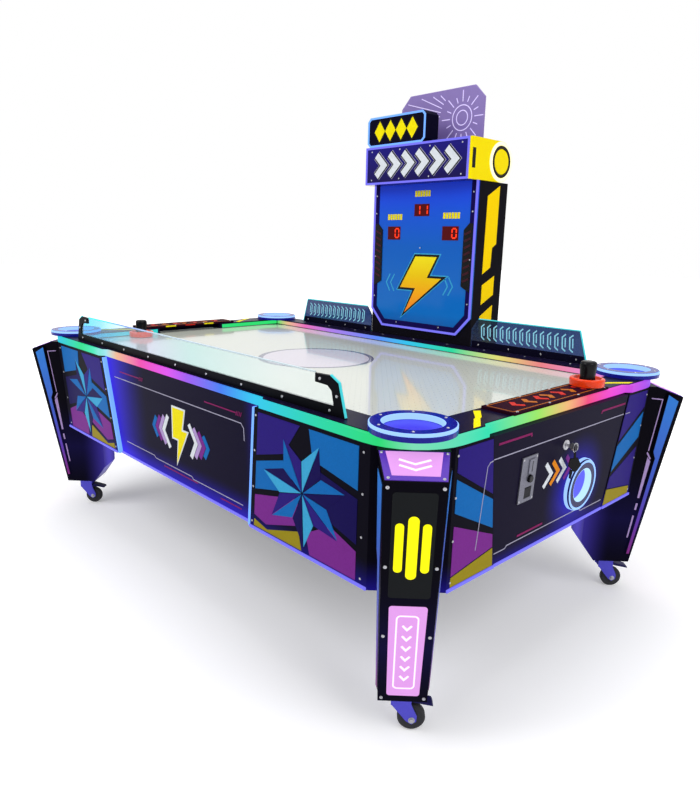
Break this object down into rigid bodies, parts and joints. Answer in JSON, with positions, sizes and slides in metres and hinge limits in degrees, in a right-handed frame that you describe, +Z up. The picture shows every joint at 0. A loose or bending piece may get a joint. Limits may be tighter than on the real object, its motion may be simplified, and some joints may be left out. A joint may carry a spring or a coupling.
{
  "type": "air hockey table",
  "caption": "Arcade air hockey table on splayed caster legs, with lit rail edge, corner ring cups, clear guards, coin end door and a score tower on the far side.",
  "frame": {"origin": "on the floor under the middle of the whole object's box", "axes": "+Z up, +X along the table towards the coin end, +Y across the table towards the score tower"},
  "size_m": [2.414, 1.587, 1.925],
  "materials": {
    "white_laminate": "smooth white laminate on board",
    "black_laminate": "black satin laminate on board",
    "indigo_print": "indigo printed sheet on board",
    "light_diffuser": "lit translucent diffuser",
    "grey_plastic": "moulded grey",
    "red_plate": "dark red painted plate",
    "blue_ring": "deep blue gloss",
    "plated_steel": "zinc plated",
    "black_rubber": "black tread",
    "black_plastic": "moulded black",
    "guard_black": "black powder coat",
    "clear_acrylic": "clear edge-lit sheet",
    "violet_acrylic": "violet lit sheet",
    "blue_face": "blue gloss sheet",
    "yellow_plastic": "yellow gloss",
    "orange_plastic": "orange-red gloss",
    "red_button": "red gloss"
  },
  "bodies": {
    "table": {"playfield": "white_laminate", "plenum_box": "grey_plastic", "blower_housing": "grey_plastic", "cabinet_floor": "black_laminate", "rail_near": "black_laminate", "rail_far": "black_laminate", "rail_right": "black_laminate", "rail_left": "black_laminate", "light_strip": "light_diffuser", "goal_cover_right": "red_plate", "goal_cover_left": "red_plate", "corner_ring_near_right": "blue_ring", "corner_ring_far_right": "blue_ring", "corner_ring_near_left": "blue_ring", "corner_ring_far_left": "blue_ring", "corner_block_near_right": "indigo_print", "corner_block_far_right": "indigo_print", "corner_block_near_left": "indigo_print", "corner_block_far_left": "indigo_print", "side_panel_near": "black_laminate", "side_panel_far": "black_laminate", "leg_near_right": "black_laminate", "leg_far_right": "black_laminate", "leg_near_left": "black_laminate", "leg_far_left": "black_laminate", "near_guard_frame": "guard_black", "near_guard_sheet": "clear_acrylic", "back_guard_right": "clear_acrylic", "back_guard_left": "clear_acrylic", "tower_cabinet": "black_laminate", "tower_back_cover": "black_laminate", "tower_face": "blue_face", "header_box": "indigo_print", "header_cheek_right": "yellow_plastic", "header_cheek_left": "yellow_plastic", "sign_box": "indigo_print", "crest_plate": "violet_acrylic"},
    "door_right": {"end_door_right": "black_laminate", "puck_return_right": "blue_ring", "coin_plate": "plated_steel"},
    "door_left": {"end_door_left": "black_laminate", "puck_return_left": "blue_ring"},
    "reject_button": {"coin_reject_button": "red_button"},
    "return_flap": {"coin_return_flap": "black_plastic"},
    "key": {"door_key": "plated_steel"},
    "impeller": {"blower_impeller": "grey_plastic"},
    "striker_right": {"mallet_right": "orange_plastic"},
    "striker_left": {"mallet_left": "orange_plastic"},
    "fork_near_right": {"caster_fork_near_right": "plated_steel"},
    "fork_far_right": {"caster_fork_far_right": "plated_steel"},
    "fork_near_left": {"caster_fork_near_left": "plated_steel"},
    "fork_far_left": {"caster_fork_far_left": "plated_steel"},
    "wheel_near_right": {"caster_wheel_near_right": "black_rubber"},
    "wheel_far_right": {"caster_wheel_far_right": "black_rubber"},
    "wheel_near_left": {"caster_wheel_near_left": "black_rubber"},
    "wheel_far_left": {"caster_wheel_far_left": "black_rubber"},
    "pedal_near_right": {"brake_pedal_near_right": "black_plastic"},
    "pedal_far_right": {"brake_pedal_far_right": "black_plastic"},
    "pedal_near_left": {"brake_pedal_near_left": "black_plastic"},
    "pedal_far_left": {"brake_pedal_far_left": "black_plastic"}
  },
  "joints": [
    {"name": "door_right_hinge", "type": "hinge", "parent": "table", "child": "door_right", "pos_m": [1.111, -0.04252, 0.409], "axis": [0, 1, 0], "range_deg": [0, 75]},
    {"name": "door_left_hinge", "type": "hinge", "parent": "table", "child": "door_left", "pos_m": [-1.111, -0.04252, 0.409], "axis": [0, -1, 0], "range_deg": [0, 75]},
    {"name": "reject_press", "type": "slide", "parent": "door_right", "child": "reject_button", "axis": [-0.9988, 0, 0.0485], "range_m": [0, 0.006], "stiffness_N_per_m": 300},
    {"name": "flap_hinge", "type": "hinge", "parent": "door_right", "child": "return_flap", "pos_m": [1.12492, -0.23002, 0.61307], "axis": [0, 1, 0], "range_deg": [0, 35]},
    {"name": "key_turn", "type": "hinge", "parent": "door_right", "child": "key", "pos_m": [1.12508, -0.04052, 0.69866], "axis": [0.9988, 0, -0.0485], "range_deg": [0, 90]},
    {"name": "impeller_spin", "type": "hinge", "parent": "table", "child": "impeller", "pos_m": [-0.35, -0.04252, 0.645], "axis": [0, 0, 1], "continuous": true},
    {"name": "striker_right_lift", "type": "slide", "parent": "table", "child": "striker_right", "axis": [0, 0, 1], "range_m": [0, 0.1]},
    {"name": "striker_left_lift", "type": "slide", "parent": "table", "child": "striker_left", "axis": [0, 0, 1], "range_m": [0, 0.1]},
    {"name": "swivel_near_right", "type": "hinge", "parent": "table", "child": "fork_near_right", "pos_m": [1.03124, -0.61776, 0.11], "axis": [0, 0, 1], "continuous": true},
    {"name": "swivel_far_right", "type": "hinge", "parent": "table", "child": "fork_far_right", "pos_m": [1.03124, 0.53271, 0.11], "axis": [0, 0, 1], "continuous": true},
    {"name": "swivel_near_left", "type": "hinge", "parent": "table", "child": "fork_near_left", "pos_m": [-1.03124, -0.61776, 0.11], "axis": [0, 0, 1], "continuous": true},
    {"name": "swivel_far_left", "type": "hinge", "parent": "table", "child": "fork_far_left", "pos_m": [-1.03124, 0.53271, 0.11], "axis": [0, 0, 1], "continuous": true},
    {"name": "roll_near_right", "type": "hinge", "parent": "fork_near_right", "child": "wheel_near_right", "pos_m": [1.05245, -0.59655, 0.0375], "axis": [0.7071, -0.7071, 0], "continuous": true},
    {"name": "roll_far_right", "type": "hinge", "parent": "fork_far_right", "child": "wheel_far_right", "pos_m": [1.05245, 0.55393, 0.0375], "axis": [0.7071, -0.7071, 0], "continuous": true},
    {"name": "roll_near_left", "type": "hinge", "parent": "fork_near_left", "child": "wheel_near_left", "pos_m": [-1.01002, -0.59655, 0.0375], "axis": [0.7071, -0.7071, 0], "continuous": true},
    {"name": "roll_far_left", "type": "hinge", "parent": "fork_far_left", "child": "wheel_far_left", "pos_m": [-1.01002, 0.55393, 0.0375], "axis": [0.7071, -0.7071, 0], "continuous": true},
    {"name": "brake_near_right", "type": "hinge", "parent": "fork_near_right", "child": "pedal_near_right", "pos_m": [1.05245, -0.59655, 0.093], "axis": [0.7071, -0.7071, 0], "range_deg": [-9, 0]},
    {"name": "brake_far_right", "type": "hinge", "parent": "fork_far_right", "child": "pedal_far_right", "pos_m": [1.05245, 0.55393, 0.093], "axis": [0.7071, -0.7071, 0], "range_deg": [-9, 0]},
    {"name": "brake_near_left", "type": "hinge", "parent": "fork_near_left", "child": "pedal_near_left", "pos_m": [-1.01002, -0.59655, 0.093], "axis": [0.7071, -0.7071, 0], "range_deg": [-9, 0]},
    {"name": "brake_far_left", "type": "hinge", "parent": "fork_far_left", "child": "pedal_far_left", "pos_m": [-1.01002, 0.55393, 0.093], "axis": [0.7071, -0.7071, 0], "range_deg": [-9, 0]}
  ]
}
